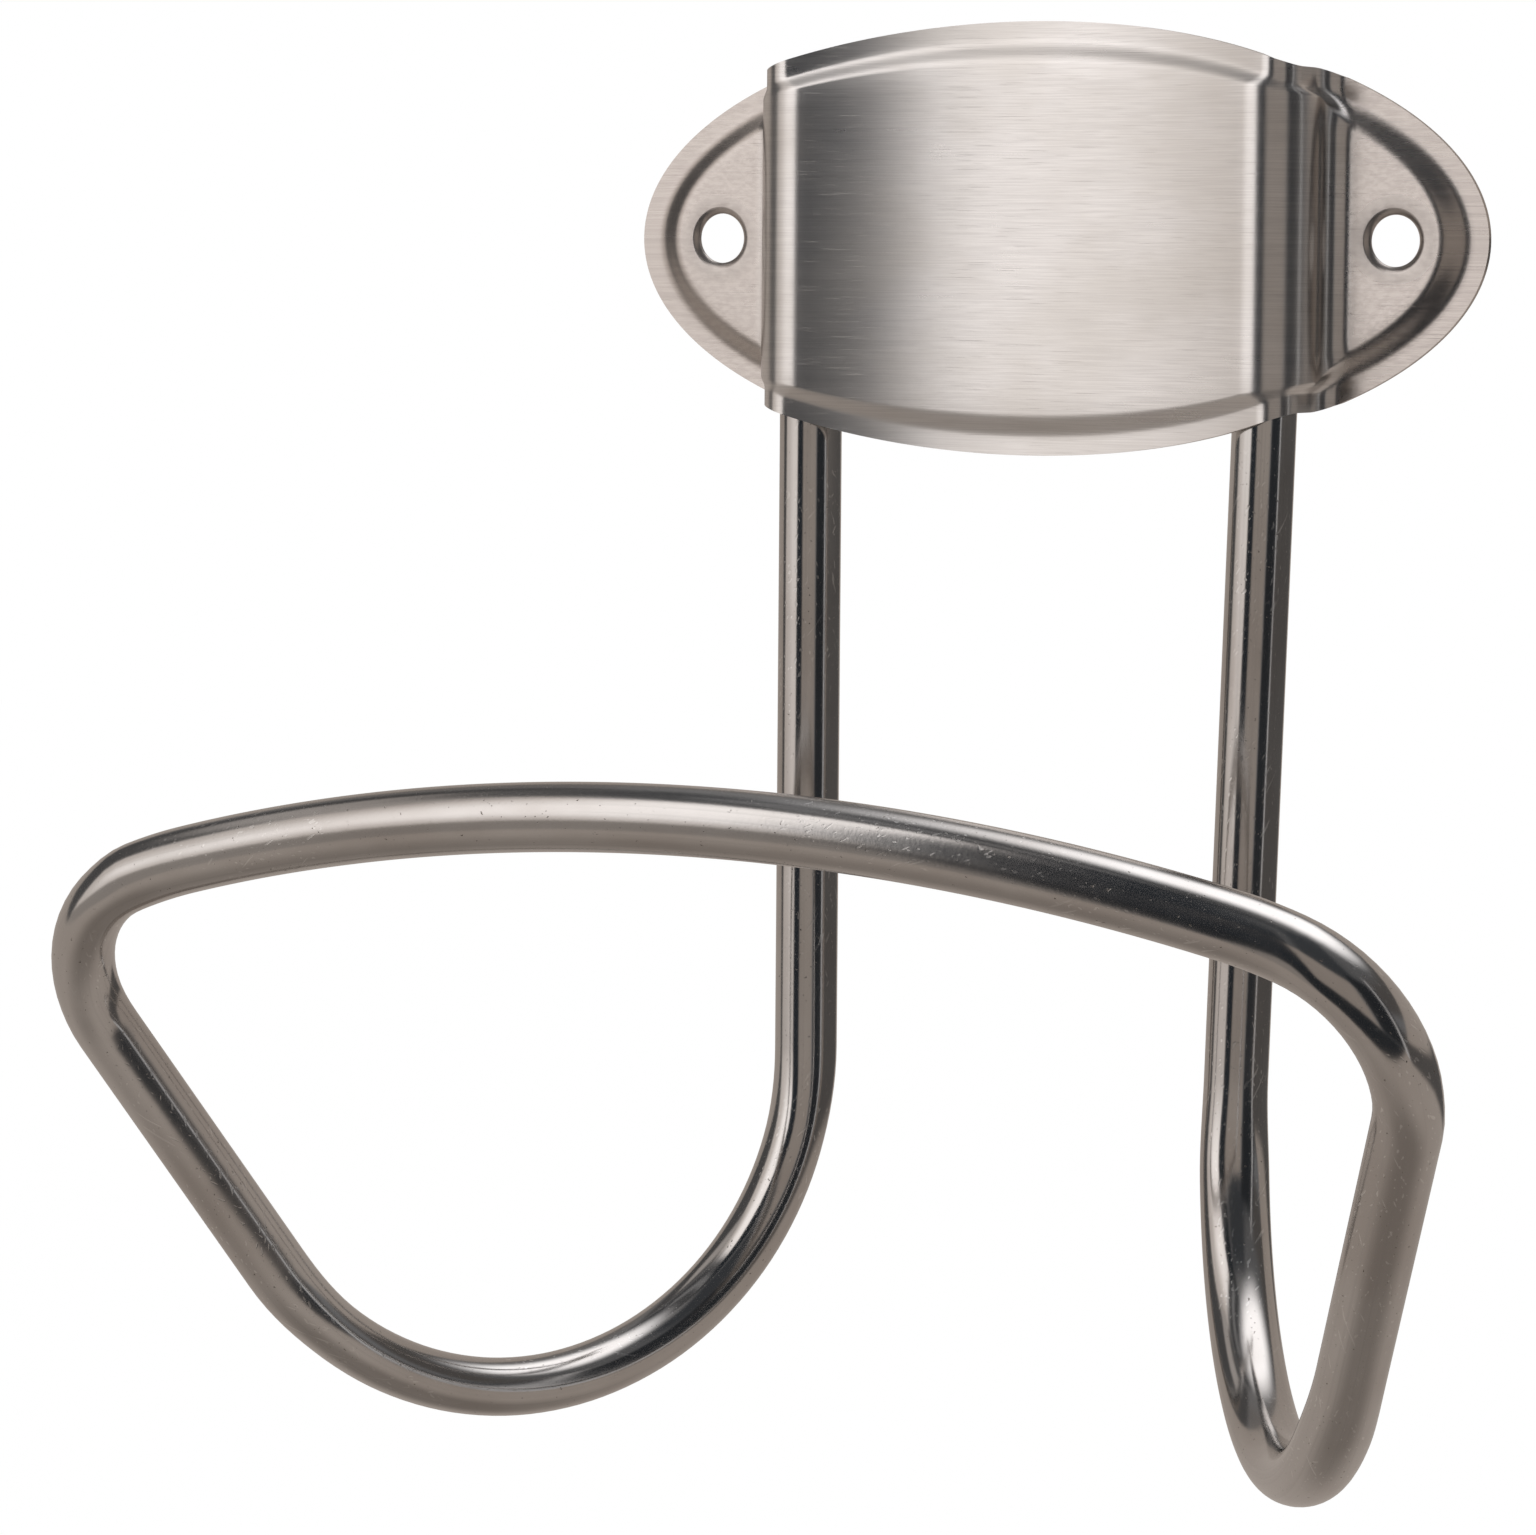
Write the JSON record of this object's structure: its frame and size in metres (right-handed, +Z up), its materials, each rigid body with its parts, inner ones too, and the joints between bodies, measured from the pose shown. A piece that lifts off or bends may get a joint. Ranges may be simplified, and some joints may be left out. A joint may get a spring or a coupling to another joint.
{
  "type": "hair dryer holder",
  "caption": "Wall-mounted holder for a hair dryer: an oval pressed steel face plate with a screw hole in each ear, and a bent steel tube that forms two J hooks joined by a bowed front bar.",
  "frame": {"origin": "on the wall's surface, midway between the two screw holes", "axes": "+X along the wall to the right, +Y into the wall, +Z up"},
  "size_m": [0.1778, 0.1055, 0.176],
  "materials": {
    "brushed_plate": "horizontally brushed stainless steel",
    "polished_tube": "satin polished stainless steel tube",
    "weld_metal": "brushed weld bead"
  },
  "bodies": {
    "root": {"face_plate": "brushed_plate", "bent_tube": "polished_tube", "weld_left_upper": "weld_metal", "weld_left_lower": "weld_metal", "weld_right_upper": "weld_metal", "weld_right_lower": "weld_metal"}
  },
  "joints": []
}
